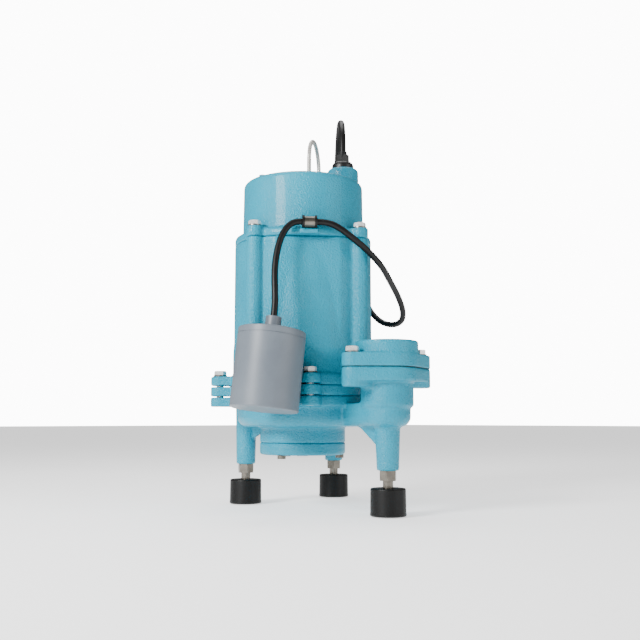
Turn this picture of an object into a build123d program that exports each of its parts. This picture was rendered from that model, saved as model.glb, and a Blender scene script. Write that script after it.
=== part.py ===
from build123d import *
import os
from math import cos, pi, radians, sin, tan

# Submersible grinder sump pump. Millimetres, +Z up, feet on Z = 0. While it is built the motor's
# axis stands at X = Y = 0 and the discharge lies on +X; the last step moves the origin to the
# middle of the footprint.

# Heights of the castings' faces
LEG_BOTTOM = 54.0
PLATE_BOTTOM = 69.0
HUB_BOTTOM = 85.0
VOLUTE_BOTTOM = 106.0
VOLUTE_FACE = 145.75
SEAL_FACE = 159.5
HOUSING_LEDGE = 173.3
HOUSING_TOP = 352.0
CAP_LEDGE = 364.0
CAP_TOP = 440.5
CORD_BOSS_TOP = 476.0

# Radii about the motor's axis
PLATE_R = 57.6
VOLUTE_R = 88.0
FLANGE_R = 98.0
HOUSING_FOOT_R = 95.0
HOUSING_TOP_R = 84.0
HOUSING_PRISM_R = 94.0
HOUSING_BORE_R = 76.0
CAP_FLANGE_R = 94.0
CAP_FOOT_R = 83.5
CAP_TOP_R = 82.5
CAP_CAVITY_R = 72.0

# Bolting: 3/8 inch screws with 9/16 inch heads, 1/2 inch feet studs
FLANGE_ANGLES = (-36, 54, 144, 234)
FLANGE_BOLT_R = 112.0
FLANGE_LUG_R = 12.5
CAP_ANGLES = (9, 99, 189, 279)
CAP_BOLT_R = 98.0
CAP_LUG_R = 11.0
SHANK_R = 4.76
HEAD_AF = 14.3
HEAD_H = 5.8
WASHER_R = 9.0
WASHER_H = 1.6
CLEAR_R = 5.3
PLATE_SCREW_ANGLES = (-74, 46, 166)
PLATE_SCREW_R = 50.0

# Legs and feet: x, y, radius at the top of the leg, radius at its bottom, height of its top
LEGS = {
    "discharge": (158.6, 0.0, 15.6, 13.6, 108.0),
    "left": (-87.0, -30.0, 15.0, 13.2, 136.0),
    "rear": (-83.0, 134.0, 15.0, 13.2, 118.0),
}
PAD_R = 22.25
PAD_H = 33.0
STUD_R = 6.35
NUT_AF = 19.05

# Discharge
PORT_X = 158.6
PORT_JOINT = 178.5
PORT_FLANGE_TOP = 195.6
PORT_TOP = 211.4
PORT_BORE_R = 28.6
BULB_R = 28.5
BULB_TOP = 130.6
PORT_EAR_ANGLE = 81.0
PORT_EAR_R = 52.0

# Motor
SHAFT_SEAL_R = 10.0
STACK = (212.0, 302.0)
ROTOR_R = 42.0
AIR_GAP = 0.4
STATOR_SLOTS = 24
BALLS = 8

# Cord entries and the lifting loop
CORD_BOSS = (8.9, 68.0)
CORD_BOSS_R = 22.5
FILL_BOSS = (-54.0, -30.2)
SWITCH_GLAND_ANGLE = 115.0
SWITCH_GLAND_Z = 405.0
CLIP_ANGLE = -36.0
CLIP_R = 98.0
CLIP_Z = 367.0
CLIP_SEAT = 359.7
CLIP_SCREW_R = 86.6
CLIP_HALF = 9.5
BAIL_FEET = ((31.8, -17.0), (-11.4, 39.7))
BAIL_TOP = 503.5
ROPE_R = 3.0

# Float switch
FLOAT_CENTRE = (76.6, -121.2, 175.0)
FLOAT_TILT = -7.2
FLOAT_R = 41.5
FLOAT_H = 97.0
FLOAT_WALL = 2.5
SWITCH_CORD_R = 4.2

# Power cord
POWER_CORD_R = 4.8
COIL_CENTRE = (-98.5, 68.5, 263.0)
COIL_MEAN_R = 62.0
COIL_RADIAL = 39.0
COIL_AXIAL = 38.0
COIL_ANGLE = 138.1
TIE_ANGLE = 40.0

# Routes of the cords, chosen by hand
TETHER = [
    (73.4, -65.7, 367.0), (69.9, -70.6, 367.0), (66.6, -77.2, 364.2), (64.8, -84.0, 357.6),
    (64.2, -91.5, 346.0), (64.8, -99.0, 327.0), (68.1, -105.6, 301.0), (73.8, -109.4, 276.0),
    (76.6, -111.0, 256.0), (76.6, -113.0, 240.0),
]
SWITCH_CORD = [
    (85.2, -49.5, 367.0), (90.5, -42.2, 367.0), (99.5, -31.5, 363.5), (111.0, -14.0, 349.0),
    (118.5, 12.0, 330.5), (112.5, 42.0, 315.5), (98.0, 71.0, 302.0), (84.5, 99.5, 288.5),
    (74.0, 123.0, 270.0), (60.5, 136.5, 256.0), (38.0, 142.0, 251.5), (16.0, 139.5, 257.0),
    (-3.0, 138.5, 272.0), (-22.0, 143.0, 295.0), (-42.0, 146.5, 325.0), (-57.0, 143.5, 357.0),
    (-61.5, 133.0, 387.0), (-53.3, 114.2, 405.0), (-44.0, 94.3, 405.0),
]
POWER_LEAD = [
    (8.9, 68.0, 503.0), (8.6, 68.2, 519.0), (3.0, 72.8, 538.0), (-9.5, 83.0, 555.0),
    (-29.0, 99.0, 564.0), (-50.0, 116.3, 561.5), (-67.0, 130.2, 546.0), (-76.5, 137.5, 520.0),
    (-80.5, 136.0, 481.0), (-82.4, 137.3, 433.0), (-81.0, 138.8, 388.0), (-74.0, 139.2, 345.0),
    (-62.5, 137.0, 305.0), (-58.8, 132.3, 275.0),
]
POWER_TAIL = [
    (-66.0, 122.6, 286.0), (-72.8, 130.1, 258.0), (-80.2, 135.3, 232.0), (-83.0, 135.6, 211.0),
]


def polar(radius, angle):
    return radius * cos(radians(angle)), radius * sin(radians(angle))


def rod(radius, low, high, at=(0, 0)):
    base = Pos(at[0], at[1], low)
    return base * Cylinder(radius, high - low, align=(Align.CENTER, Align.CENTER, Align.MIN))


def taper(low_radius, high_radius, low, high, at=(0, 0)):
    base = Pos(at[0], at[1], low)
    size = (low_radius, high_radius, high - low)
    return base * Cone(*size, align=(Align.CENTER, Align.CENTER, Align.MIN))


def ring(outer, inner, low, high, at=(0, 0)):
    return rod(outer, low, high, at) - rod(inner, low, high, at)


def turned(profile, at=(0, 0)):
    outline = Plane.XZ * make_face(Polyline(*profile, close=True))
    return Pos(at[0], at[1], 0) * revolve(outline, Axis.Z)


def hexagon(across_flats, low, high, at=(0, 0), turn=0.0):
    outline = RegularPolygon(across_flats / 2, 6, major_radius=False)
    solid = extrude(outline, high - low)
    return Pos(at[0], at[1], low) * Rot(0, 0, turn) * solid


def fused(pieces):
    whole = pieces[0]
    for piece in pieces[1:]:
        whole = whole + piece
    return whole


def group(pieces):
    return Compound(children=[solid for piece in pieces for solid in piece.solids()])


def hull_slab(circles, low, high):
    """The convex slab around circles, each given as x, y, radius."""
    edges = [Pos(x, y) * CenterArc((0, 0), r, 0, 360) for x, y, r in circles]
    outline = make_hull([e for arc in edges for e in arc.edges()])
    return Pos(0, 0, low) * extrude(outline, high - low)


def hex_bolt(at, seat, tip, turn=0.0):
    """A hex head on its washer's top face, with a shank that reaches down to tip."""
    head = hexagon(HEAD_AF, seat, seat + HEAD_H, at, turn)
    crown = taper(11.0, 6.6, seat, seat + HEAD_H + 1.2, at)
    return (head & crown) + rod(SHANK_R, tip, seat, at)


def corner_radii(points):
    radii = []
    for a, b, c in zip(points, points[1:], points[2:]):
        into, out = Vector(*b) - Vector(*a), Vector(*c) - Vector(*b)
        half = radians(into.get_angle(out)) / 2
        radii.append(0.45 * min(into.length, out.length) / tan(half))
    return radii


def cord_tube(name, points, radius):
    """A round cord along straight runs that tangent arcs join."""
    radii = corner_radii(points)
    path = FilletPolyline(*points, radius=radii)
    start = Plane(path @ 0, z_dir=path % 0)
    tube = sweep(start * Circle(radius), path=path)
    share = tube.volume / (pi * radius**2 * path.length)
    print(name, "radii", [round(r) for r in radii], "length", round(path.length), "share", round(share, 4))
    return tube


# ---- Castings ----

def suction_plate():
    plate = rod(PLATE_R, PLATE_BOTTOM, HUB_BOTTOM)
    lower_rim = plate.edges().filter_by(GeomType.CIRCLE).group_by(Axis.Z)[0]
    plate = fillet(lower_rim, 3.5)
    plate -= rod(24.0, PLATE_BOTTOM, HUB_BOTTOM)
    for angle in range(0, 360, 60):
        notch = Pos(*polar(24.5, angle)) * rod(3.6, PLATE_BOTTOM, HUB_BOTTOM)
        plate -= notch
    for angle in PLATE_SCREW_ANGLES:
        plate -= rod(CLEAR_R - 1.0, PLATE_BOTTOM, HUB_BOTTOM, polar(PLATE_SCREW_R, angle))
    return plate


def leg(name):
    x, y, top_radius, foot_radius, top = LEGS[name]
    post = taper(foot_radius, top_radius, LEG_BOTTOM, top, (x, y))
    foot_edge = post.edges().group_by(Axis.Z)[0]
    return fillet(foot_edge, 1.5)


def gusset(name, inner, low, thick=8.0):
    """The web between a leg and the casing: a triangle that narrows downwards along the leg."""
    x, y, _, _, _ = LEGS[name]
    reach = (x**2 + y**2) ** 0.5
    outline = Polyline((inner, VOLUTE_BOTTOM + 12), (reach, VOLUTE_BOTTOM + 12), (reach, low),
                       (reach - 11, low), (inner, VOLUTE_BOTTOM - 1), close=True)
    web = extrude(Plane.XZ * make_face(outline), thick / 2, both=True)
    angle = Vector(x, y, 0).get_signed_angle(Vector(1, 0, 0), Vector(0, 0, -1))
    return Rot(0, 0, angle) * web


def volute_casing():
    scroll = rod(VOLUTE_R, VOLUTE_BOTTOM, VOLUTE_FACE)
    scroll = fillet(scroll.edges().group_by(Axis.Z)[0], 13.0)
    throat = hull_slab([(38, 50, 42), (100, 28, 31), (PORT_X, 0, BULB_R)], VOLUTE_BOTTOM + 1, 136.0)
    throat = fillet(throat.edges().group_by(Axis.Z)[0], 12.0)
    scroll += throat
    scroll += rod(PLATE_R, HUB_BOTTOM, VOLUTE_BOTTOM + 8)
    scroll += rod(FLANGE_R, 132.5, VOLUTE_FACE)
    for angle in FLANGE_ANGLES:
        at = polar(FLANGE_BOLT_R, angle)
        inner = polar(FLANGE_BOLT_R - 25, angle)
        scroll += hull_slab([(*at, FLANGE_LUG_R), (*inner, FLANGE_LUG_R + 3)], 132.5, 145.0)
    for name in LEGS:
        scroll += leg(name)
    scroll += gusset("discharge", 114.0, 79.0)
    scroll += gusset("left", 52.0, 88.0)
    scroll += gusset("rear", 70.0, 92.0, 12.0)
    barrel = rod(32.3, BULB_TOP, PORT_JOINT, (PORT_X, 0))
    scroll += fillet(barrel.edges().group_by(Axis.Z)[0], 2.5)
    ear_a = polar(PORT_EAR_R, PORT_EAR_ANGLE)
    ears = [(PORT_X + s * ear_a[0], s * ear_a[1], 13.0) for s in (-1, 1)]
    scroll += hull_slab([*ears, (PORT_X, 0, 39.5)], 161.4, PORT_JOINT)
    for x, y, r in ears:
        scroll += hull_slab([(x, y, r), (PORT_X + (x - PORT_X) * 0.72, y * 0.72, r)], 154.5, 162.0)
    # Water passages
    scroll -= rod(79.0, 118.0, VOLUTE_FACE) - ring(90, 70.5, 110, 133.5)
    scroll -= rod(70.5, 112.5, VOLUTE_FACE)
    scroll -= rod(30.0, HUB_BOTTOM, 113.0)
    scroll -= hull_slab([(44, 42, 22), (100, 28, 22), (PORT_X, 0, 19)], 114.5, 130.0)
    scroll -= rod(20.5, 114.5, BULB_TOP + 6, (PORT_X, 0)) + rod(26.0, BULB_TOP + 6, PORT_JOINT, (PORT_X, 0))
    # Tapped holes
    for angle in FLANGE_ANGLES:
        scroll -= rod(SHANK_R, 132.0, VOLUTE_FACE, polar(FLANGE_BOLT_R, angle))
    for angle in PLATE_SCREW_ANGLES:
        scroll -= rod(3.2, HUB_BOTTOM, HUB_BOTTOM + 14, polar(PLATE_SCREW_R, angle))
    for x, y, _ in ears:
        scroll -= rod(SHANK_R, 158.0, PORT_JOINT, (x, y))
    for x, y, _, _, _ in LEGS.values():
        scroll -= rod(STUD_R, LEG_BOTTOM, LEG_BOTTOM + 20, (x, y))
    return scroll


def discharge_flange():
    ear = polar(PORT_EAR_R, PORT_EAR_ANGLE)
    ears = [(PORT_X + s * ear[0], s * ear[1]) for s in (-1, 1)]
    outline = [(x, y, 13.0) for x, y in ears] + [(PORT_X, 0, 39.5)]
    plate = hull_slab(outline, PORT_JOINT + 0.6, PORT_FLANGE_TOP)
    plate = fillet(plate.edges().group_by(Axis.Z)[-1], 1.5)
    hub = rod(38.7, PORT_FLANGE_TOP - 3, PORT_TOP, (PORT_X, 0))
    hub = fillet(hub.edges().group_by(Axis.Z)[-1], 2.5)
    flange = plate + hub - rod(PORT_BORE_R, PORT_JOINT, PORT_TOP, (PORT_X, 0))
    for at in ears:
        flange -= rod(CLEAR_R, PORT_JOINT, PORT_FLANGE_TOP, at)
    return flange


def discharge_gasket():
    ear = polar(PORT_EAR_R, PORT_EAR_ANGLE)
    ears = [(PORT_X + s * ear[0], s * ear[1], 12.2) for s in (-1, 1)]
    sheet = hull_slab([*ears, (PORT_X, 0, 38.7)], PORT_JOINT, PORT_JOINT + 0.6)
    sheet -= rod(PORT_BORE_R + 0.8, PORT_JOINT, PORT_JOINT + 0.6, (PORT_X, 0))
    for x, y, _ in ears:
        sheet -= rod(CLEAR_R, PORT_JOINT, PORT_JOINT + 0.6, (x, y))
    return sheet


def seal_plate():
    profile = [(14.0, 142.0), (34.0, 142.0), (40.0, 147.0), (78.5, 147.0), (78.5, VOLUTE_FACE),
               (FLANGE_R, VOLUTE_FACE), (FLANGE_R, SEAL_FACE), (75.8, SEAL_FACE), (75.8, 164.0),
               (70.0, 164.0), (64.0, 157.0), (42.0, 157.0), (38.0, 163.0), (34.0, 197.0), (26.0, 197.0),
               (26.0, 181.0), (16.0, 181.0), (16.0, 173.5), (24.0, 170.0), (24.0, 153.0), (17.0, 150.0),
               (17.0, 143.5), (14.0, 143.5)]
    plate = turned(profile)
    for angle in FLANGE_ANGLES:
        at = polar(FLANGE_BOLT_R, angle)
        inner = polar(FLANGE_BOLT_R - 25, angle)
        lug = hull_slab([(*at, FLANGE_LUG_R), (*inner, FLANGE_LUG_R + 3)], 146.5, 158.9)
        plate += lug - rod(CAP_FOOT_R, 146, 159)
        plate -= rod(CLEAR_R, 146.0, 159.0, at)
    return plate


def motor_housing():
    body = rod(HOUSING_FOOT_R, SEAL_FACE, 206.0)
    body += taper(HOUSING_FOOT_R, HOUSING_TOP_R, 205.0, HOUSING_TOP)
    prism = rod(HOUSING_PRISM_R, 200.0, HOUSING_TOP)
    prism &= Pos(0, 0, 276) * Rot(0, 0, FLANGE_ANGLES[0]) * Box(168.5, 190, 152)
    body += prism
    for angle in CAP_ANGLES:
        body += rod(CAP_LUG_R, HOUSING_LEDGE - 2, HOUSING_TOP, polar(CAP_BOLT_R - 0.5, angle))
    body += rod(FLANGE_R, SEAL_FACE, HOUSING_LEDGE)
    for angle in FLANGE_ANGLES:
        at = polar(FLANGE_BOLT_R, angle)
        inner = polar(FLANGE_BOLT_R - 25, angle)
        body += hull_slab([(*at, FLANGE_LUG_R), (*inner, FLANGE_LUG_R + 3)], 160.4, HOUSING_LEDGE)
    body -= rod(HOUSING_BORE_R, SEAL_FACE, HOUSING_TOP)
    for angle in FLANGE_ANGLES:
        body -= rod(CLEAR_R, SEAL_FACE, HOUSING_LEDGE, polar(FLANGE_BOLT_R, angle))
    for angle in CAP_ANGLES:
        body -= rod(SHANK_R, 322.0, HOUSING_TOP, polar(CAP_BOLT_R, angle))
    return body


def motor_cap():
    body = taper(CAP_FOOT_R, CAP_TOP_R, HOUSING_TOP, CAP_TOP)
    body = fillet(body.edges().group_by(Axis.Z)[-1], 7.0)
    flange = rod(CAP_FLANGE_R, HOUSING_TOP, CAP_LEDGE)
    body += fillet(flange.edges().group_by(Axis.Z)[-1], 5.0)
    for angle in CAP_ANGLES:
        at = polar(CAP_BOLT_R, angle)
        inner = polar(CAP_BOLT_R - 18, angle)
        body += hull_slab([(*at, CAP_LUG_R), (*inner, CAP_LUG_R)], HOUSING_TOP, 366.0)
    at_clip = Rot(0, 0, CLIP_ANGLE)
    body -= at_clip * Pos(94.45, 0, CLIP_SEAT + 5) * Box(22, 24, 10)
    body += at_clip * Pos(89, 0, CLIP_SEAT - 3.8) * Box(17, 24, 7.6)
    boss = rod(CORD_BOSS_R, HOUSING_TOP, CORD_BOSS_TOP, CORD_BOSS)
    body += fillet(boss.edges().group_by(Axis.Z)[-1], 6.0)
    fill = rod(12.0, CAP_TOP - 8, 459.0, FILL_BOSS)
    body += fillet(fill.edges().group_by(Axis.Z)[-1], 4.0)
    side = Rot(0, 0, SWITCH_GLAND_ANGLE) * Pos(82, 0, SWITCH_GLAND_Z) * Rot(0, 90, 0) * Cylinder(14, 16)
    body += side
    body -= rod(CAP_CAVITY_R, HOUSING_TOP, 432.0)
    body -= rod(13.0, HOUSING_TOP, 464.0, CORD_BOSS)
    body -= rod(9.0, 460.0, CORD_BOSS_TOP, CORD_BOSS)
    body -= rod(6.5, 431.0, 459.0, FILL_BOSS)
    body -= Rot(0, 0, SWITCH_GLAND_ANGLE) * Pos(80, 0, SWITCH_GLAND_Z) * Rot(0, 90, 0) * Cylinder(7, 24)
    body -= at_clip * Pos(CLIP_SCREW_R, 0, 356) * Cylinder(1.9, 8)
    for angle in CAP_ANGLES:
        body -= rod(CLEAR_R, HOUSING_TOP, 366.0, polar(CAP_BOLT_R, angle))
    for at in BAIL_FEET:
        body -= rod(ROPE_R + 1.5, 431.0, CAP_TOP, at)
    return body


def upper_bearing_bracket():
    plate = ring(HOUSING_BORE_R, 20.0, 326.0, 332.0)
    plate += ring(27.0, 20.0, 320.0, 334.0)
    plate += ring(27.0, 13.0, 334.0, 341.0)
    for angle in range(0, 360, 60):
        plate -= rod(9.5, 325.0, 333.0, polar(50.0, angle))
    for x in (-46, 46):
        for y in (-32, 32):
            plate += rod(5.0, 332.0, 361.0, (x, y))
    return plate


# ---- Wet end and rotor ----

def rotor_shaft():
    steps = [(8.0, 70.5), (9.0, 87.0), (SHAFT_SEAL_R, 142.0), (12.5, 181.0), (15.0, 196.5),
             (14.0, 205.0), (12.0, 309.0), (8.5, 321.0)]
    tops = [z for _, z in steps[1:]] + [336.0]
    shaft = fused([rod(r, low, high) for (r, low), high in zip(steps, tops)])
    return shaft - rod(3.2, 70.5, 88.0)


def impeller():
    wheel = ring(58.0, 9.0, 134.0, 138.5) + ring(16.0, 9.0, 115.0, 141.0)
    for angle in range(0, 360, 60):
        line = Rot(0, 0, angle) * ThreePointArc((14.5, 0), (33, 12), (44, 34))
        vane = Pos(0, 0, 117.5) * extrude(trace(line, 4.0), 17.0)
        wheel += vane
    return wheel - rod(9.0, 110.0, 142.0)


def grinder_cutter():
    blade = rod(12.0, 71.5, 86.5)
    for angle in range(0, 360, 120):
        arm = Rot(0, 0, angle) * Pos(15.5, 0, 78.0) * Box(15.5, 8.0, 13.0)
        blade += arm & rod(23.6, 70, 90)
    return blade - rod(8.0, 71.5, 86.5)


def seal_spring():
    coils = [Pos(0, 0, z) * Torus(12.5, 0.9) for z in (159.5, 162.0, 164.5)]
    bars = [rod(0.9, 159.5, 164.5, polar(12.5, angle)) for angle in (0, 180)]
    return fused(coils + bars)


def ball_set(middle, pitch, ball):
    """Balls in the pockets of a thin cage."""
    places = [Pos(*polar(pitch, 360 / BALLS * k), middle) for k in range(BALLS)]
    cage = ring(pitch + 0.8, pitch - 0.8, middle - 2.0, middle + 2.0)
    for place in places:
        cage -= place * Sphere(ball + 0.05)
    return group([cage, *[place * Sphere(ball) for place in places]])


def race(outer, inner, low, high, pitch, ball):
    groove = Pos(0, 0, (low + high) / 2) * Torus(pitch, ball + 0.08)
    return ring(outer, inner, low, high) - groove


def stator_core():
    core = ring(HOUSING_BORE_R, ROTOR_R + AIR_GAP, *STACK)
    slot = Pos(51, 0, sum(STACK) / 2) * Box(15, 5.5, STACK[1] - STACK[0])
    slot += Pos(43.5, 0, sum(STACK) / 2) * Box(3, 2.2, STACK[1] - STACK[0])
    for k in range(STATOR_SLOTS):
        core -= Rot(0, 0, 360 / STATOR_SLOTS * k) * slot
    return core


def end_winding(low, high):
    bundle = ring(66.0, 45.5, low, high)
    return fillet(bundle.edges().filter_by(GeomType.CIRCLE), 4.0)


# ---- Trim around the cords ----

def cord_gland():
    x, y = CORD_BOSS
    dome = rod(15.6, CORD_BOSS_TOP, 487.0, (x, y))
    dome = fillet(dome.edges().group_by(Axis.Z)[-1], 7.0)
    dome += hexagon(18.0, 480.0, 497.0, (x, y), 12) & taper(12, 9.2, 480, 498, (x, y))
    dome += taper(7.0, 5.7, 496.0, 503.0, (x, y))
    dome += rod(8.9, 464.5, CORD_BOSS_TOP, (x, y))
    return dome - rod(POWER_CORD_R, 464.0, 503.0, (x, y))


def switch_gland():
    body = hexagon(22.0, 90.0, 97.0) + taper(8.5, 6.2, 97.0, 104.0) + rod(6.9, 76.0, 90.0)
    body -= rod(SWITCH_CORD_R, 76.0, 104.0)
    return Rot(0, 0, SWITCH_GLAND_ANGLE) * Pos(0, 0, SWITCH_GLAND_Z) * Rot(0, 90, 0) * body


def clip_place():
    """The clip's bore runs along its local Z, which lies along the rim of the cap."""
    x, y = polar(CLIP_R, CLIP_ANGLE)
    return Pos(x, y, CLIP_Z) * Rot(0, 0, CLIP_ANGLE + 90) * Rot(0, 90, 0)


def cord_clip():
    band = Pos(0, 0, -6.5) * (rod(7.3, 0, 13) - rod(6.5, 0, 13))
    # Local X points down and local Y points in towards the motor.
    foot = Pos(6.9, 5.6, 0) * Box(0.8, 17.2, 13)
    foot -= rod(6.5, -7, 7)
    return clip_place() * (band + foot) - Rot(0, 0, CLIP_ANGLE) * Pos(CLIP_SCREW_R, 0, 360) * Cylinder(1.9, 8)


def clip_grommet():
    sleeve = rod(6.5, -CLIP_HALF, CLIP_HALF)
    sleeve += rod(8.5, -CLIP_HALF, -6.6) + rod(8.5, 6.6, CLIP_HALF)
    sleeve -= rod(SWITCH_CORD_R, -CLIP_HALF, CLIP_HALF)
    pad_top = Rot(0, 0, CLIP_ANGLE) * Pos(90, 0, CLIP_SEAT - 4.7) * Box(20, 30, 9.4)
    return clip_place() * sleeve - pad_top


def clip_screw():
    head = rod(3.1, 360.5, 362.6) + rod(1.9, 352.5, 360.5)
    return Rot(0, 0, CLIP_ANGLE) * Pos(CLIP_SCREW_R, 0, 0) * head


def lifting_bail():
    (ax, ay), (bx, by) = BAIL_FEET
    half = ((bx - ax) ** 2 + (by - ay) ** 2) ** 0.5 / 2
    shoulder = BAIL_TOP - half
    middle = ((ax + bx) / 2, (ay + by) / 2)
    legs = [rod(ROPE_R, CAP_TOP - 6, shoulder, at) for at in BAIL_FEET]
    hoop = Torus(half, ROPE_R) & (Pos(0, half, 0) * Box(4 * half, 2 * half, 4 * half))
    angle = Vector(bx - ax, by - ay, 0).get_signed_angle(Vector(1, 0, 0), Vector(0, 0, -1))
    arch = Pos(*middle, shoulder) * Rot(0, 0, angle) * Rot(90, 0, 0) * hoop
    return fused([arch, *legs])


def bail_ferrules():
    return group([ring(ROPE_R + 1.5, ROPE_R, 432.5, 449.0, at) for at in BAIL_FEET])


# ---- Float switch ----

def float_place():
    return Pos(*FLOAT_CENTRE) * Rot(FLOAT_TILT, 0, 0)


def float_shell():
    low, high = -FLOAT_H / 2 + 7, FLOAT_H / 2
    can = rod(FLOAT_R, low, high)
    can = fillet(can.edges().group_by(Axis.Z)[-1], 1.5)
    can -= ring(FLOAT_R + 1, FLOAT_R - 0.5, high - 8.6, high - 7.8)
    can += rod(10.0, high - 1, high + 9)
    can -= rod(FLOAT_R - FLOAT_WALL, low, high - FLOAT_WALL)
    can -= rod(SWITCH_CORD_R + 2.5, high - 4, high + 9)
    return float_place() * can


def float_cap():
    low, high = -FLOAT_H / 2, -FLOAT_H / 2 + 7
    lid = rod(FLOAT_R, low, high)
    lid = fillet(lid.edges().group_by(Axis.Z)[0], 1.5)
    lid += ring(FLOAT_R - FLOAT_WALL, FLOAT_R - 2 * FLOAT_WALL, high, high + 8)
    lid -= rod(FLOAT_R - 2 * FLOAT_WALL, low + FLOAT_WALL, high + 8)
    return float_place() * lid


def float_cord_seal():
    top = FLOAT_H / 2
    boot = rod(9.8, top + 9, top + 17) + rod(SWITCH_CORD_R + 2.5, top - 4, top + 9)
    return float_place() * (boot - rod(SWITCH_CORD_R, top - 4, top + 17))


def float_ball_track():
    tube = ring(11.5, 9.5, -30.0, 14.0) + rod(11.5, -32.0, -30.0)
    brace = ring(36.0, 11.5, -32.0, -30.0)
    for angle in range(0, 360, 60):
        brace -= rod(6.0, -33.0, -29.0, polar(24.0, angle))
    return float_place() * (tube + brace)


def float_microswitch():
    body = Pos(0, 0, 22.5) * Box(20.0, 10.0, 12.0)
    collar = ring(11.5, 4.0, 14.0, 16.5)
    return float_place() * (body + collar)


def power_coil():
    section = Pos(COIL_MEAN_R, 0) * RectangleRounded(COIL_RADIAL, COIL_AXIAL, 9)
    bundle = revolve(Plane.XZ * section, Axis.Z)
    return Pos(*COIL_CENTRE) * Rot(0, 0, COIL_ANGLE) * Rot(0, 90, 0) * bundle


def coil_ties():
    """Straps round the coil's bundle, turned clear of the bolt head that it stands on."""
    x, y, z = COIL_CENTRE
    radial, axial = COIL_RADIAL, COIL_AXIAL
    outer = Box(axial + 2.4, 14, radial + 2.4)
    strap = outer - Box(axial, 14, radial)
    turn = Pos(x, y, z) * Rot(0, 0, COIL_ANGLE) * Rot(TIE_ANGLE, 0, 0)
    straps = [turn * Pos(0, 0, s * COIL_MEAN_R) * strap for s in (-1, 1)]
    return group([strap - power_coil() for strap in straps])


def plug_place():
    x, y, z = POWER_TAIL[-1]
    return Pos(x, y, z) * Rot(0, 0, COIL_ANGLE)


def power_plug():
    neck = taper(10.0, 6.0, -22.0, 0.0) - rod(POWER_CORD_R, -16.0, 0.0)
    body = Pos(0, 0, -43) * Box(26.0, 32.0, 42.0)
    body = fillet(body.edges().filter_by(Axis.Z), 7.0)
    return plug_place() * (body + neck)


def plug_pins():
    blades = [Pos(0, y, -73) * Box(6.3, 1.6, 18.0) for y in (-6.5, 6.5)]
    earth = Pos(7.5, 0, -75) * Cylinder(2.4, 22.0)
    return plug_place() * group([*blades, earth])


def bolt_points(radius, angles):
    return [polar(radius, angle) for angle in angles]


def ear_points():
    ear = polar(PORT_EAR_R, PORT_EAR_ANGLE)
    return [(PORT_X + s * ear[0], s * ear[1]) for s in (-1, 1)]


def washers(points, seat):
    return group([ring(WASHER_R, CLEAR_R, seat, seat + WASHER_H, at) for at in points])


def bolts(points, seat, tip):
    return group([hex_bolt(at, seat + WASHER_H, tip, 17.0 * k) for k, at in enumerate(points)])


def o_ring(radius, height, section):
    return Pos(0, 0, height) * Torus(radius, section)


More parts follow.
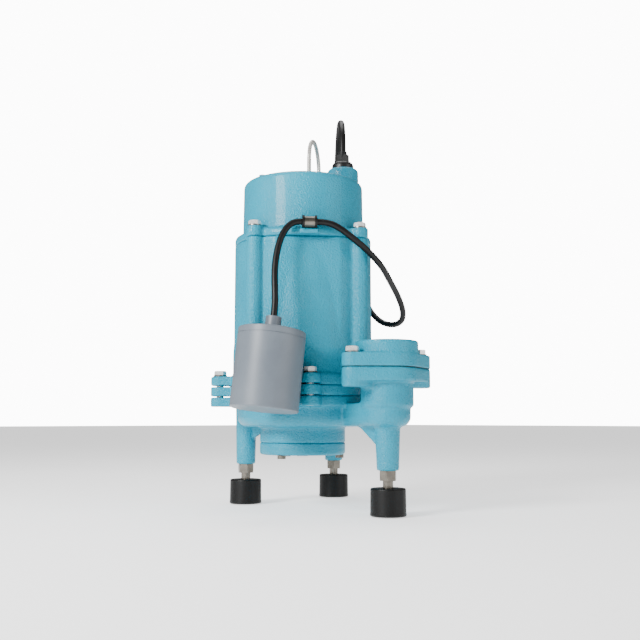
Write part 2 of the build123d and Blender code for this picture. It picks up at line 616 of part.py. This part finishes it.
def build():
    feet = [(x, y) for x, y, _, _, _ in LEGS.values()]
    flange_points = bolt_points(FLANGE_BOLT_R, FLANGE_ANGLES)
    cap_points = bolt_points(CAP_BOLT_R, CAP_ANGLES)
    plate_points = bolt_points(PLATE_SCREW_R, PLATE_SCREW_ANGLES)
    rings = [o_ring(80.0, HOUSING_TOP, 1.6), o_ring(87.0, SEAL_FACE, 1.6), o_ring(88.5, VOLUTE_FACE, 1.6)]
    parts = {
        "suction_plate": suction_plate(),
        "volute_casing": volute_casing() - rings[2],
        "seal_plate": seal_plate() - rings[1] - rings[2],
        "motor_housing": motor_housing() - rings[0] - rings[1],
        "motor_cap": motor_cap() - rings[0],
        "discharge_flange": discharge_flange(),
        "discharge_gasket": discharge_gasket(),
        "upper_bearing_bracket": upper_bearing_bracket(),
        "flange_bolts": bolts(flange_points, HOUSING_LEDGE, 132.5),
        "cap_bolts": bolts(cap_points, 366.0, 323.0),
        "discharge_bolts": bolts(ear_points(), PORT_FLANGE_TOP, 159.0),
        "washers": group([washers(flange_points, HOUSING_LEDGE), washers(cap_points, 366.0),
                          washers(ear_points(), PORT_FLANGE_TOP)]),
        "foot_studs": group([rod(STUD_R, 24.0, LEG_BOTTOM + 18, at) for at in feet]),
        "foot_nuts": group([
            (hexagon(NUT_AF, 42.0, 54.0, at, turn) & taper(12.2, 10.6, 42.0, 54.0, at)
             & taper(10.4, 12.6, 42.0, 54.0, at)) - rod(STUD_R, 42.0, 54.0, at)
            for at, turn in zip(feet, (8, 35, 20))
        ]),
        "rotor_shaft": rotor_shaft(),
        "rotor_core": ring(ROTOR_R, 14.0, *STACK),
        "rotor_end_rings": group([ring(39.0, 22.0, 205.0, 212.0), ring(39.0, 22.0, 302.0, 309.0)]),
        "stator_core": stator_core(),
        "stator_windings": group([end_winding(198.5, 212.0), end_winding(302.0, 317.0)]),
        "lower_bearing_outer": race(26.0, 22.2, 181.0, 196.0, 19.2, 4.0),
        "lower_bearing_inner": race(15.8, 12.5, 181.0, 196.0, 19.2, 4.0),
        "lower_bearing_balls": ball_set(188.5, 19.2, 4.0),
        "upper_bearing_outer": race(20.0, 17.2, 321.0, 333.0, 14.2, 3.4),
        "upper_bearing_inner": race(11.3, 8.5, 321.0, 333.0, 14.2, 3.4),
        "upper_bearing_balls": ball_set(327.0, 14.2, 3.4),
        "seal_seats": group([ring(17.0, 10.6, 143.5, 150.0), ring(16.0, 10.6, 173.5, 180.9)]),
        "seal_heads": group([ring(14.5, SHAFT_SEAL_R, 150.3, 158.4),
                             ring(14.5, SHAFT_SEAL_R, 165.6, 173.2)]),
        "seal_spring": seal_spring(),
        "impeller": impeller(),
        "grinder_cutter": grinder_cutter(),
        "cutter_screw": rod(3.2, 70.5, 86.0) + (rod(7.5, 66.5, 70.5) - hexagon(5.0, 66.5, 69.2)),
        "start_capacitor": Pos(0, -24, 387) * Rot(0, 90, 0) * Cylinder(22.5, 88),
        "capacitor_tray": Pos(0, 0, 362.5) * Box(108, 76, 3.0),
        "start_relay": Pos(-4, 18, 379.5) * Box(46, 30, 31),
        "o_rings": group(rings),
        "cord_gland": cord_gland(),
        "switch_gland": switch_gland(),
        "cord_clip": cord_clip(),
        "clip_grommet": clip_grommet(),
        "clip_screw": clip_screw(),
        "lifting_bail": lifting_bail(),
        "bail_ferrules": bail_ferrules(),
        "oil_fill_plug": rod(6.5, 446.0, 459.0, FILL_BOSS) + hexagon(9.5, 459.0, 462.5, FILL_BOSS, 15),
        "float_shell": float_shell(),
        "float_cap": float_cap(),
        "float_cord_seal": float_cord_seal(),
        "float_ball_track": float_ball_track(),
        "float_microswitch": float_microswitch(),
        "float_ball": float_place() * Pos(0, 0, -20.4) * Sphere(9.3),
        "float_tether": cord_tube("float_tether", TETHER, SWITCH_CORD_R),
        "switch_cord": cord_tube("switch_cord", SWITCH_CORD, SWITCH_CORD_R),
        "power_cord": group([cord_tube("power_lead", POWER_LEAD, POWER_CORD_R),
                             cord_tube("power_tail", POWER_TAIL, POWER_CORD_R)]),
        "power_coil": power_coil(),
        "power_plug": power_plug(),
        "plug_pins": plug_pins(),
        "coil_ties": coil_ties(),
    }
    for at, name in zip(feet, LEGS):
        pad = rod(PAD_R, 0.0, PAD_H, at)
        parts["foot_pad_" + name] = pad - rod(STUD_R, 24.0, PAD_H, at)
    parts["plate_screws"] = group([
        rod(3.2, PLATE_BOTTOM, HUB_BOTTOM + 12, at) + (rod(5.5, 64.5, PLATE_BOTTOM, at)
                                                       - hexagon(5.0, 64.5, 67.0, at))
        for at in plate_points
    ])
    return parts


CORD_NODES = ("float_tether", "switch_cord", "power_cord", "power_coil", "power_plug", "plug_pins",
              "coil_ties")

parts = build()
print("nodes", len(parts))
standing = Compound(children=[s for n, p in parts.items() if n not in CORD_NODES for s in p.solids()])
box = standing.bounding_box()
shift = Pos(-(box.min.X + box.max.X) / 2, -(box.min.Y + box.max.Y) / 2, 0)
print("motor axis at", shift.position, "low", box.min.Z, "high", box.max.Z)
os.makedirs("parts", exist_ok=True)
for name, shape in parts.items():
    placed = shift * Compound(children=list(shape.solids()))
    export_step(placed, "parts/" + name + ".step")
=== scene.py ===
# %% [markdown]
# # A submersible sump pump
# The pump is a cast motor housing on a volute, with a float switch on a cord.
# Its measured parts are loaded first, and what follows gives them the shapes and finishes
# that the eye expects.

# %% Load the measured parts
import math

import bpy
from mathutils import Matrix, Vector


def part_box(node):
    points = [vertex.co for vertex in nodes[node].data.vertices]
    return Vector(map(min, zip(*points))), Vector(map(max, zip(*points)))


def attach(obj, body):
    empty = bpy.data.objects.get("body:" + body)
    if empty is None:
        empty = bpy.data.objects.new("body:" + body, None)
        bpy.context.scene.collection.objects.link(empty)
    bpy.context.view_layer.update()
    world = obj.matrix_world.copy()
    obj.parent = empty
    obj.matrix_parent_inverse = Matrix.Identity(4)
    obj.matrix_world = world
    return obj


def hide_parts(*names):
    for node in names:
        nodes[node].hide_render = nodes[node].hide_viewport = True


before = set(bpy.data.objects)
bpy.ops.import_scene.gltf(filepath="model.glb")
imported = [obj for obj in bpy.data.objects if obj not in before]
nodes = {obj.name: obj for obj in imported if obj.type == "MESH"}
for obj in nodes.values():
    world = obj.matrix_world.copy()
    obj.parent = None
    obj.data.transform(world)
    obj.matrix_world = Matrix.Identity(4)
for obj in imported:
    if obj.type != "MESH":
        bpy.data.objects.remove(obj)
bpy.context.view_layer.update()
MM = 0.001

# %% [markdown]
# Everything on a pump is placed from its motor axis, so the axis is found once, from the
# middle of the rotor, and a point is then given in millimetres from it.

# %% The motor axis
core_low, core_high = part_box("rotor_core")
AXIS = Vector(((core_low[0] + core_high[0]) / 2, (core_low[1] + core_high[1]) / 2, 0))


def at(x, y, z):
    return AXIS + Vector((x, y, z)) * MM


print("motor axis", tuple(round(v, 4) for v in AXIS))

# %% [markdown]
# ## Camera
# A catalogue picture is taken from low down with a normal lens, so that upright edges
# stay upright and the discharge side faces the buyer.

# %% Camera
CAMERA_PLACE = (882.73, -760.44, 115)
CAMERA_TILT = math.radians(96.7)
CAMERA_TURN = math.radians(48.1)
LENS_MM = 47.87
SENSOR_MM = 36
bpy.ops.object.select_all(action="DESELECT")
bpy.ops.object.camera_add(location=at(*CAMERA_PLACE), rotation=(CAMERA_TILT, 0, CAMERA_TURN))
camera = bpy.context.object
camera.data.sensor_width = SENSOR_MM
camera.data.lens = LENS_MM
bpy.context.scene.camera = camera
print("camera at", tuple(round(v, 3) for v in camera.location))

# %% [markdown]
# ## Cords
# A rubber cord is one smooth line of fixed length. It could be a swept mesh, but a NURBS
# curve with a round bevel bends the way rubber does and needs only a few points.
# The order is set after the points, or the curve would be straight runs. A curve's box
# reaches out by the radius of its points, so each point has the cord's true radius, and
# the bevel that multiplies it is one.

# %% A cord along its points
CORD_ROUNDNESS = 5
CORD_SMOOTHNESS = 6


def lay_cord(name, points, radius):
    data = bpy.data.curves.new(name, "CURVE")
    data.dimensions = "3D"
    data.bevel_depth = 1
    data.bevel_resolution = CORD_ROUNDNESS
    data.use_fill_caps = True
    spline = data.splines.new("NURBS")
    spline.points.add(len(points) - 1)
    for point, place in zip(spline.points, points):
        point.co = (*at(*place), 1)
        point.radius = radius * MM
    spline.order_u = 3
    spline.use_endpoint_u = True
    spline.resolution_u = CORD_SMOOTHNESS
    cord = bpy.data.objects.new(name, data)
    bpy.context.scene.collection.objects.link(cord)
    print(name, len(points), "points")
    return cord


# %% [markdown]
# The float hangs from a clip at the cap's rim by its own cord. The same cord goes on from
# the clip, loops out to the right and enters the cap at the back.

# %% Float cord and switch cord
FLOAT_CORD_R = 4.2
TETHER = [
    (73.4, -65.7, 367), (69.9, -70.6, 367), (66.6, -77.2, 364.2), (64.8, -84, 357.6),
    (64.2, -91.5, 346), (64.8, -99, 327), (68.1, -105.6, 301), (73.8, -109.4, 276),
    (76.6, -111, 256), (76.6, -113, 240),
]
SWITCH = [
    (85.2, -49.5, 367), (90.5, -42.2, 367), (99.5, -31.5, 363.5), (111, -14, 349),
    (118.5, 12, 330.5), (112.5, 42, 315.5), (98, 71, 302), (84.5, 99.5, 288.5),
    (74, 123, 270), (60.5, 136.5, 256), (38, 142, 251.5), (16, 139.5, 257),
    (-3, 138.5, 272), (-22, 143, 295), (-42, 146.5, 325), (-57, 143.5, 357),
    (-61.5, 133, 387), (-53.3, 114.2, 405), (-44, 94.3, 405),
]
tether = lay_cord("float_cord", TETHER, FLOAT_CORD_R)
switch = lay_cord("switch_lead", SWITCH, FLOAT_CORD_R)
for cord, node, body, points, length in (
    (tether, "float_tether", "float", TETHER, 0.147),
    (switch, "switch_cord", "pump", SWITCH, 0.489),
):
    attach(cord, body)
    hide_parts(node)

# %% [markdown]
# The mains lead is about 6 m long. It rises from its gland, turns over behind the cap and is
# wound into a coil of fourteen turns, side by side and in layers, which stands behind the
# housing. Each turn has its own slot in the bundle, and slots next to each other in the list
# touch. The tail hangs from the coil and ends in the plug.

# %% Mains lead
LEAD_R = 4.8
LEAD = [
    (8.9, 68, 503), (8.6, 68.2, 519), (3, 72.8, 538), (-9.5, 83, 555), (-29, 99, 564),
    (-50, 116.3, 561.5), (-67, 130.2, 546), (-76.5, 137.5, 520), (-80.5, 136, 481),
    (-82.4, 137.3, 433), (-81, 138.8, 388), (-74, 139.2, 345), (-62.5, 137, 305),
    (-58.8, 132.3, 275),
]
TAIL = [(-66, 122.6, 286), (-72.8, 130.1, 258), (-80.2, 135.3, 232), (-83, 135.6, 211)]
COIL_CENTRE = Vector((-98.5, 68.5, 263))
COIL_ACROSS = Vector((0.668, 0.744, 0))
COIL_OUT = Vector((-0.744, 0.668, 0))
COIL_STEP = 2 * LEAD_R
INNER_TURN_R = 46.6
BUNDLE_MIDDLE = 1.6
# Each turn's slot is (layer from the inside, place across the bundle).
SLOTS = [(3, 3), (3, 2), (3, 1), (3, 0), (2, 0), (1, 0), (0, 0), (0, 1), (1, 1), (2, 1),
         (2, 2), (1, 2), (1, 3), (2, 3)]
POINTS_PER_TURN = 16
# An order 3 curve passes each point at three quarters of its own place and an eighth of
# each neighbour's, so the points stand out by this much.
OUTSET = 1 / (0.75 + 0.25 * math.cos(2 * math.pi / POINTS_PER_TURN))
# A turn moves over to the next slot in its last quarter.
STEP_START = 0.75


def coil_points():
    points = []
    for k in range(1, len(SLOTS) * POINTS_PER_TURN - 1):
        turn, step = divmod(k, POINTS_PER_TURN)
        part = step / POINTS_PER_TURN
        here = Vector(SLOTS[turn])
        after = Vector(SLOTS[min(turn + 1, len(SLOTS) - 1)])
        move = max(0, (part - STEP_START) / (1 - STEP_START))
        layer, place = here.lerp(after, move)
        radius = (INNER_TURN_R + COIL_STEP * layer) * OUTSET
        angle = -2 * math.pi * part
        spot = COIL_CENTRE + COIL_ACROSS * radius * math.cos(angle)
        spot += COIL_OUT * COIL_STEP * (place - BUNDLE_MIDDLE)
        spot.z += radius * math.sin(angle)
        points.append(tuple(spot))
    return points


lead = lay_cord("mains_lead", LEAD + coil_points() + TAIL, LEAD_R)
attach(lead, "pump")
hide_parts("power_cord", "power_coil")

# %% [markdown]
# ## Studio
# A pale floor and large soft lights give enamel long clean highlights. The main light
# stands to the left, so the cylinder is brightest left of its middle.

# %% Floor and lights
FLOOR_SIZE = 30
FLOOR_HEIGHT = -0.001
AIM_HEIGHT = 260
# Each light has its place in millimetres, its size in metres and its power in watts.
LIGHTS = {
    "key_light": ((150, -1500, 900), 0.5, 44),
    "fill_light": ((1500, 500, 700), 0.9, 7),
    "top_light": ((-300, 200, 1700), 0.9, 14),
}
bpy.ops.object.select_all(action="DESELECT")
bpy.ops.mesh.primitive_plane_add(size=FLOOR_SIZE, location=(0, 0, FLOOR_HEIGHT))
floor = bpy.context.object
floor.name = "studio_floor"


def soft_light(name, place, size, watts):
    bpy.ops.object.light_add(type="AREA", location=at(*place))
    light = bpy.context.object
    light.name = name
    light.data.shape = "SQUARE"
    light.data.size = size
    light.data.energy = watts
    aim = at(0, 0, AIM_HEIGHT) - light.location
    light.rotation_euler = aim.to_track_quat("-Z", "Y").to_euler()


for name, (place, size, watts) in LIGHTS.items():
    soft_light(name, place, size, watts)
print("lights", len(LIGHTS))

# %% [markdown]
# The sky is dim as a light, so that the lamps shape the pump, and bright where the camera
# sees it, so that the space above the floor is white.

# %% Sky
SKY_LIGHT = 0.3
SKY_BRIGHT = 12.0
world = bpy.data.worlds.new("studio_sky")
bpy.context.scene.world = world
world.use_nodes = True
sky = world.node_tree.nodes["Background"]
sky.inputs["Color"].default_value = (1, 1, 1, 1)
rays = world.node_tree.nodes.new("ShaderNodeLightPath")
level = world.node_tree.nodes.new("ShaderNodeMapRange")
level.inputs["To Min"].default_value = SKY_LIGHT
level.inputs["To Max"].default_value = SKY_BRIGHT
world.node_tree.links.new(rays.outputs["Is Camera Ray"], level.inputs["Value"])
world.node_tree.links.new(level.outputs["Result"], sky.inputs["Strength"])
print("sky", SKY_LIGHT, "as a light and", SKY_BRIGHT, "behind")

# %% [markdown]
# ## Finishes
# Colours are chosen as sRGB hex values and turned to linear light once, by the sRGB
# standard's own curve: a straight line near black and a power of 2.4 above it. One small
# function adds a node, with its settings and links.

# %% Colour and node helpers


def linear(code):
    parts = [int(code[i:i + 2], 16) / 255 for i in (1, 3, 5)]
    return tuple(v / 12.92 if v <= 0.04045 else ((v + 0.055) / 1.055) ** 2.4
                 for v in parts) + (1,)


def add_node(tree, kind, sockets=None, **settings):
    node = tree.nodes.new(kind)
    for name, value in settings.items():
        setattr(node, name, value)
    for name, value in (sockets or {}).items():
        if isinstance(value, bpy.types.NodeSocket):
            tree.links.new(value, node.inputs[name])
        else:
            node.inputs[name].default_value = value
    return node


# %% [markdown]
# Most finishes share one pattern: a slow change of colour, a finer change of gloss, and a
# grain that catches the light. Only their sizes and strengths differ, so one function
# makes them, and each is named for what it really is.

# %% One function for a finish
MM_PER_M = 1000
PATCH_DETAIL = 3.0
PATCH_DARK_TO = 0.3
PATCH_PALE_FROM = 0.7
GRAIN_DETAIL = 2.0
GRAIN_STRENGTH = 0.6


def finish(name, pale, dark, patch_mm, grain_mm, depth_mm, rough, **surface):
    material = bpy.data.materials.new(name)
    material.use_nodes = True
    tree = material.node_tree
    shader = tree.nodes["Principled BSDF"]
    where = add_node(tree, "ShaderNodeTexCoord").outputs["Object"]
    patch = add_node(tree, "ShaderNodeTexNoise", {
        "Vector": where, "Scale": MM_PER_M / patch_mm, "Detail": PATCH_DETAIL})
    grain = add_node(tree, "ShaderNodeTexNoise", {
        "Vector": where, "Scale": MM_PER_M / grain_mm, "Detail": GRAIN_DETAIL})
    ramp = add_node(tree, "ShaderNodeValToRGB", {"Fac": patch.outputs["Fac"]})
    ramp.color_ramp.elements[0].position = PATCH_DARK_TO
    ramp.color_ramp.elements[0].color = linear(dark)
    ramp.color_ramp.elements[1].position = PATCH_PALE_FROM
    ramp.color_ramp.elements[1].color = linear(pale)
    gloss = add_node(tree, "ShaderNodeMapRange", {
        "Value": grain.outputs["Fac"], "To Min": rough[0], "To Max": rough[1]})
    bump = add_node(tree, "ShaderNodeBump", {
        "Height": grain.outputs["Fac"], "Distance": depth_mm * MM,
        "Strength": GRAIN_STRENGTH})
    tree.links.new(ramp.outputs["Color"], shader.inputs["Base Color"])
    tree.links.new(gloss.outputs["Result"], shader.inputs["Roughness"])
    tree.links.new(bump.outputs["Normal"], shader.inputs["Normal"])
    for socket, value in surface.items():
        shader.inputs[socket].default_value = value
    return material


# %% [markdown]
# Gloss enamel over sand-cast iron keeps an orange-peel grain of two or three millimetres
# under a smooth clear skin. Steel parts are turned or polished, the feet and cords are
# rubber, and the float is moulded polypropylene.

# %% Finishes of the outside
METAL = {"Metallic": 1.0}
# Bolt heads and rope are small, and they get a painted sheen: a near-white colour with less
# metal in it keeps them bright.
BOLT_SHEEN_METAL = {"Metallic": 0.55}
ROPE_SHEEN_METAL = {"Metallic": 0.6}
ENAMEL = {"Coat Weight": 0.12, "Coat Roughness": 0.1, "Specular IOR Level": 0.3}
RUBBER = {"Specular IOR Level": 0.25}
FINISHES = {
    "teal_enamel": finish("gloss_enamel_on_cast_iron", "#0092AC", "#00829C", 90, 2.2, 2.6,
                          (0.26, 0.4), **ENAMEL),
    "stainless": finish("turned_stainless_steel", "#837E75", "#67635C", 14, 0.8, 0.03,
                        (0.22, 0.38), **METAL),
    # Near-white colour with part metal: a painted sheen on the bolt heads.
    "bright_head": finish("bolt_steel_with_painted_sheen", "#FFFFFF", "#F0EFEC", 8, 0.6, 0.02,
                          (0.22, 0.34), **BOLT_SHEEN_METAL),
    # Pale colour with part metal: a painted sheen on the wire rope.
    "rope_wire_painted_sheen": finish("stainless_wire_with_painted_sheen", "#DAD7D1", "#B9B6B0", 10, 0.6, 0.02,
                        (0.26, 0.4), **ROPE_SHEEN_METAL),
    "black_rubber": finish("moulded_black_rubber", "#0E0E0E", "#080808", 20, 1.0, 0.06,
                           (0.34, 0.52), **RUBBER),
    "cord_jacket": finish("rubber_cord_jacket", "#0C0C0C", "#060606", 25, 1.2, 0.08,
                          (0.36, 0.5), **RUBBER),
    "black_plastic": finish("moulded_black_nylon", "#131415", "#0B0C0D", 15, 0.9, 0.05,
                            (0.3, 0.44)),
    "grey_pvc": finish("moulded_grey_polypropylene", "#666E76", "#5C646D", 45, 1.1, 0.05,
                       (0.36, 0.48)),
    "gasket_fibre": finish("compressed_gasket_fibre", "#2F3636", "#1E2424", 6, 0.8, 0.1,
                           (0.7, 0.85)),
}
print("outside finishes", len(FINISHES))

# %% [markdown]
# Inside are metals without paint: ground bearing steel, stacked silicon steel, cast
# aluminium and iron, and varnished copper wire. The seal faces are carbon, the plug's pins
# are brass, and the straps round the cord's coil are woven nylon.

# %% Finishes of the inside and of small parts
FINISHES.update({
    "ground_steel": finish("ground_bearing_steel", "#B9B9BA", "#A3A3A5", 10, 0.6, 0.01,
                           (0.18, 0.3), **METAL),
    "silicon_steel": finish("stacked_silicon_steel", "#7E7E84", "#66666C", 8, 0.6, 0.1,
                            (0.4, 0.55), **METAL),
    "rotor_aluminium": finish("die_cast_aluminium", "#C9CACD", "#B2B3B7", 16, 1.5, 0.05,
                              (0.35, 0.5), **METAL),
    "winding_copper": finish("varnished_copper_wire", "#B4622F", "#8C4720", 5, 1.0, 0.3,
                             (0.25, 0.4), **METAL),
    "impeller_iron": finish("bare_cast_iron", "#5C5A58", "#454341", 20, 2.0, 0.2, (0.5, 0.7),
                            **METAL),
    "seal_carbon": finish("carbon_seal_face", "#2C2C2F", "#202022", 6, 0.6, 0.02, (0.3, 0.4)),
    "pin_brass": finish("bright_pin_brass", "#D8B25C", "#C49A45", 8, 0.8, 0.02, (0.2, 0.3),
                        **METAL),
    "tie_strap": finish("woven_nylon_strap", "#2A2A2A", "#191919", 4, 0.9, 0.25, (0.7, 0.9)),
    "bracket_iron": finish("bracket_cast_iron", "#6A6866", "#504E4C", 18, 2.0, 0.2,
                           (0.5, 0.7), **METAL),
})
print("finishes", len(FINISHES))

# %% [markdown]
# The floor is matt white paint that glows a little, so that it stays pale into the distance.

# %% Floor paint
FINISHES["floor"] = finish("painted_studio_floor", "#FFFFFF", "#FAFAFA", 400, 4, 0.01,
                           (0.7, 0.8))
FLOOR_GLOW = 0.95
floor.data.materials.append(FINISHES["floor"])
paint = FINISHES["floor"].node_tree.nodes["Principled BSDF"]
paint.inputs["Emission Color"].default_value = (1, 1, 1, 1)
paint.inputs["Emission Strength"].default_value = FLOOR_GLOW
print("floor glow", FLOOR_GLOW)

# %% [markdown]
# Each measured part gets the finish of what it is made of. The parts that share a finish
# are listed together.

# %% Give the measured parts their finishes
NODE_SLOT = {}
for slot, names in {
    "teal_enamel": "suction_plate volute_casing seal_plate motor_housing motor_cap "
                   "discharge_flange oil_fill_plug",
    "stainless": "foot_studs foot_nuts plate_screws cord_clip clip_screw lifting_bail "
                 "bail_ferrules washers",
    "bright_head": "flange_bolts cap_bolts discharge_bolts",
    "black_rubber": "foot_pad_discharge foot_pad_left foot_pad_rear clip_grommet o_rings",
    "cord_jacket": "float_tether switch_cord power_cord power_coil",
    "black_plastic": "cord_gland switch_gland power_plug float_microswitch start_relay",
    "grey_pvc": "float_shell float_cap float_cord_seal float_ball_track",
    "gasket_fibre": "discharge_gasket",
    "ground_steel": "rotor_shaft lower_bearing_outer lower_bearing_inner "
                    "lower_bearing_balls upper_bearing_outer upper_bearing_inner "
                    "upper_bearing_balls seal_spring grinder_cutter cutter_screw float_ball",
    "silicon_steel": "rotor_core stator_core",
    "rotor_aluminium": "rotor_end_rings start_capacitor capacitor_tray",
    "winding_copper": "stator_windings",
    "impeller_iron": "impeller",
    "seal_carbon": "seal_seats seal_heads",
    "pin_brass": "plug_pins",
    "tie_strap": "coil_ties",
    "bracket_iron": "upper_bearing_bracket",
}.items():
    for name in names.split():
        NODE_SLOT[name] = slot
for name, node in nodes.items():
    node.data.materials.clear()
    node.data.materials.append(FINISHES[NODE_SLOT[name]])
for cord in (tether, switch, lead):
    cord.data.materials.append(FINISHES["cord_jacket"])
print("dressed", len(nodes))

# %% [markdown]
# ## Castings
# Sand-cast iron has no sharp edge: every corner is rounded by the mould and filled by
# enamel. Bevelling edge by edge would miss the corners where shapes meet, so each casting
# is copied, rebuilt on an even grid and relaxed, which rounds all of them alike.

# %% Soften a casting
WELD_M = 0.00001
RELAX_FACTOR = 0.5
RELAX_PASSES = 2


def copy_part(node, name):
    bpy.ops.object.select_all(action="DESELECT")
    piece = bpy.data.objects.new(name, nodes[node].data.copy())
    bpy.context.scene.collection.objects.link(piece)
    bpy.context.view_layer.objects.active = piece
    piece.select_set(True)
    bpy.ops.object.mode_set(mode="EDIT")
    bpy.ops.mesh.select_all(action="SELECT")
    bpy.ops.mesh.remove_doubles(threshold=WELD_M)
    bpy.ops.object.mode_set(mode="OBJECT")
    return piece


def soften(node, name, grid_mm):
    piece = copy_part(node, name)
    grid = piece.modifiers.new("even_grid", "REMESH")
    grid.mode = "VOXEL"
    grid.voxel_size = grid_mm * MM * 1
    grid.use_smooth_shade = True
    relax = piece.modifiers.new("relax", "SMOOTH")
    relax.factor = RELAX_FACTOR
    relax.iterations = RELAX_PASSES
    for modifier in ("even_grid", "relax"):
        bpy.ops.object.modifier_apply(modifier=modifier)
    bpy.ops.object.shade_smooth()
    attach(piece, "pump")
    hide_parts(node)
    print(name, "triangles", sum(len(p.vertices) - 2 for p in piece.data.polygons))


# %% [markdown]
# A finer grid keeps more of a casting's own shape, so the small castings have the finest.

# %% Soften the castings
CASTINGS = {
    "motor_housing": ("housing_casting", 1.95),
    "motor_cap": ("cap_casting", 1.7),
    "volute_casing": ("volute_cast_body", 1.9),
    "discharge_flange": ("port_casting", 1.3),
    "suction_plate": ("inlet_plate_casting", 1.4),
    "seal_plate": ("seal_plate_casting", 1.6),
}
for node, (name, grid_mm) in CASTINGS.items():
    soften(node, name, grid_mm)

# %% [markdown]
# ## Lifting rope
# The bail is a loop of stainless wire rope: six strands laid round a core. A plain bent rod
# would miss the slanting lines, so each strand is drawn as a thin tube that winds along it.

# %% Lifting rope
ROPE_FEET = (Vector((31.8, -17, 0)), Vector((-11.4, 39.7, 0)))
ROPE_LOW = 434.5
ROPE_TOP = 503.5
STRANDS = 6
STRAND_R = 1.02
STRAND_OFFSET = 1.95
STRAND_STEPS = 150
STRAND_ROUNDNESS = 2
CORE_R = 1.1
LAY_MM = 21.0
rope_across = ROPE_FEET[1] - ROPE_FEET[0]
HOOP_R = rope_across.length / 2
rope_across.normalize()
rope_side = rope_across.cross(Vector((0, 0, 1)))
rope_middle = (ROPE_FEET[0] + ROPE_FEET[1]) / 2
LEG_MM = ROPE_TOP - HOOP_R - ROPE_LOW
ROPE_MM = 2 * LEG_MM + math.pi * HOOP_R


def rope_point(along):
    """The rope's centre and its outward normal, that far along it."""
    if along < LEG_MM:
        return ROPE_FEET[0] + Vector((0, 0, ROPE_LOW + along)), -rope_across
    if along > ROPE_MM - LEG_MM:
        return ROPE_FEET[1] + Vector((0, 0, ROPE_LOW + ROPE_MM - along)), rope_across
    turn = math.pi - (along - LEG_MM) / HOOP_R
    out = rope_across * math.cos(turn) + Vector((0, 0, math.sin(turn)))
    return rope_middle + Vector((0, 0, ROPE_LOW + LEG_MM)) + out * HOOP_R, out


def strand(k, offset, radius):
    data = bpy.data.curves.new("strand", "CURVE")
    data.dimensions = "3D"
    data.bevel_depth = radius * MM
    data.bevel_resolution = STRAND_ROUNDNESS
    data.use_fill_caps = True
    spline = data.splines.new("POLY")
    spline.points.add(STRAND_STEPS)
    for i, point in enumerate(spline.points):
        along = ROPE_MM * i / STRAND_STEPS
        centre, out = rope_point(along)
        angle = 2 * math.pi * (along / LAY_MM + k / STRANDS)
        spot = centre + (out * math.cos(angle) + rope_side * math.sin(angle)) * offset
        point.co = (*at(*spot), 1)
    curve = bpy.data.objects.new("strand", data)
    bpy.context.scene.collection.objects.link(curve)
    return curve


strands = [strand(k, STRAND_OFFSET, STRAND_R) for k in range(STRANDS)]
strands.append(strand(0, 0, CORE_R))
bpy.ops.object.select_all(action="DESELECT")
for part in strands:
    part.select_set(True)
bpy.context.view_layer.objects.active = strands[0]
bpy.ops.object.convert(target="MESH")
bpy.ops.object.join()
bail = bpy.context.object
bail.name = "lifting_rope"
bpy.ops.object.shade_smooth()
bail.data.materials.clear()
bail.data.materials.append(FINISHES["rope_wire_painted_sheen"])
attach(bail, "pump")
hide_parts("lifting_bail")
print("rope", round(ROPE_MM), "mm long")

# %% [markdown]
# ## Rubber feet
# Each foot is a moulded rubber buffer with a lip at its foot. A round piece is easily
# made from one circle that is extruded up its outline and resized at each step.

# %% A turned piece and the feet
FOOT_PLACES = {"discharge": (158.6, 0), "left": (-87, -30), "rear": (-83, 134)}
FOOT_OUTLINE = [(21.4, 0), (22.2, 0.8), (22.2, 2.6), (21.9, 4.5), (21.6, 31.8), (20.8, 33),
                (12.5, 33), (12.0, 32.4)]
FOOT_EDGE_MM = 0.5
ROUND_SIDES = 72
EDGE_SEGMENTS = 3
SHARP_ANGLE = math.radians(35)


def turn_up(name, outline, x, y, edge_mm):
    bpy.ops.object.select_all(action="DESELECT")
    first_r, first_z = outline[0]
    bpy.ops.mesh.primitive_circle_add(vertices=ROUND_SIDES, radius=first_r * MM,
                                      fill_type="NGON", location=at(x, y, first_z))
    piece = bpy.context.object
    piece.name = name
    bpy.ops.object.mode_set(mode="EDIT")
    bpy.ops.mesh.select_all(action="SELECT")
    for (r0, z0), (r1, z1) in zip(outline, outline[1:]):
        bpy.ops.mesh.extrude_region_move(
            TRANSFORM_OT_translate={"value": (0, 0, (z1 - z0) * MM)})
        bpy.ops.transform.resize(value=(r1 / r0, r1 / r0, 1), center_override=at(x, y, z1))
    bpy.ops.mesh.select_all(action="SELECT")
    bpy.ops.mesh.normals_make_consistent(inside=False)
    bpy.ops.object.mode_set(mode="OBJECT")
    bpy.ops.object.transform_apply(location=True, rotation=True, scale=True)
    edge = piece.modifiers.new("edge", "BEVEL")
    edge.width = edge_mm * MM
    edge.segments = EDGE_SEGMENTS
    edge.limit_method = "ANGLE"
    bpy.ops.object.modifier_apply(modifier="edge")
    bpy.ops.object.shade_smooth_by_angle(angle=SHARP_ANGLE)
    return piece


for side, (x, y) in FOOT_PLACES.items():
    foot = turn_up("rubber_foot_" + side, FOOT_OUTLINE, x, y, FOOT_EDGE_MM)
    foot.data.materials.append(FINISHES["black_rubber"])
    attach(foot, "pump")
    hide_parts("foot_pad_" + side)
print("feet", len(FOOT_PLACES), "of", len(foot.data.polygons), "faces")
